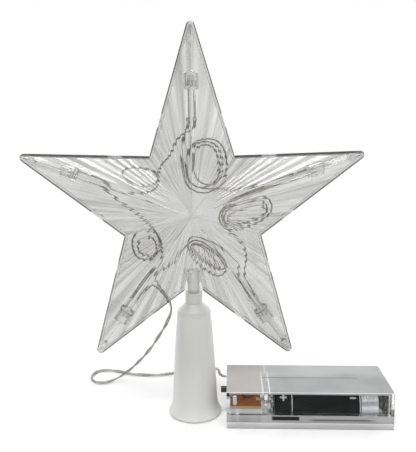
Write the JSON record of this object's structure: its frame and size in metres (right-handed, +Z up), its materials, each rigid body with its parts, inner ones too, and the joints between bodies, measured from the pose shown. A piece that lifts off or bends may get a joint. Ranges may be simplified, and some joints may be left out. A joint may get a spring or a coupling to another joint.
{
  "type": "christmas tree topper star",
  "caption": "Clear faceted star with lamps and looped wires inside, on a frosted tapered tree socket, with a twin lead to a clear battery case with a slide switch.",
  "frame": {"origin": "middle of the tree socket's mouth, on the table", "axes": "+Z up the socket to the star's top point, -Y out of the star's front, +X to its right as seen from the front, towards the battery case"},
  "size_m": [0.1768, 0.0712, 0.1896],
  "materials": {
    "star_clear": "clear, polished outside and fluted inside",
    "socket_frosted": "frosted translucent white",
    "lamp_clear": "water-clear lamp",
    "lamp_leg": "tinned wire",
    "solder": "bright solder",
    "wire": "thin lacquered wire",
    "lead": "clear twin lead with silvery strands",
    "case_clear": "clear, polished",
    "case_frosted": "clear walls and a frosted top",
    "board": "brown phenolic board",
    "chip": "black resin blob",
    "resistor": "tan lacquer",
    "resistor_leg": "tinned wire",
    "switch_steel": "bright plate",
    "switch_block": "brown laminate",
    "knob_black": "black moulding",
    "cell_can": "bright plated can",
    "cell_sleeve": "printed shrink sleeve, black with a silver end",
    "cell_seal": "insulating washer",
    "cell_button": "bright plate",
    "contact": "plated sheet",
    "spring": "plated spring wire"
  },
  "bodies": {
    "star_and_case": {"star_front_shell": "star_clear", "star_back_shell": "star_clear", "tree_socket": "socket_frosted", "lamp_top": "lamp_clear", "lamp_right": "lamp_clear", "lamp_lower_right": "lamp_clear", "lamp_lower_left": "lamp_clear", "lamp_left": "lamp_clear", "lamp_legs": "lamp_leg", "solder_joints": "solder", "lead_pads": "solder", "feed_wire": "wire", "left_loop_wire": "wire", "upper_left_loop_wire": "wire", "top_loop_wire": "wire", "right_loop_wire": "wire", "lower_loop_wire": "wire", "lead_cord": "lead", "case_tray": "case_clear", "case_cover": "case_frosted", "circuit_board": "board", "controller_chip": "chip", "resistor": "resistor", "resistor_legs": "resistor_leg", "switch_can": "switch_steel", "switch_pins": "switch_steel", "switch_block": "switch_block", "front_cell_can": "cell_can", "rear_cell_can": "cell_can", "front_cell_sleeve": "cell_sleeve", "rear_cell_sleeve": "cell_sleeve", "front_cell_seal": "cell_seal", "rear_cell_seal": "cell_seal", "front_cell_button": "cell_button", "rear_cell_button": "cell_button", "positive_contact": "contact", "negative_contact": "contact", "bridge_contact": "contact", "bridge_spring": "spring", "negative_spring": "spring"},
    "door": {"battery_door": "case_frosted"},
    "knob": {"switch_knob": "knob_black"}
  },
  "joints": [
    {"name": "door_slide", "type": "slide", "parent": "star_and_case", "child": "door", "axis": [0.9992, -0.0401, 0], "range_m": [0, 0.06]},
    {"name": "switch_slide", "type": "slide", "parent": "star_and_case", "child": "knob", "axis": [-0.0401, -0.9992, 0], "range_m": [0, 0.002]}
  ]
}
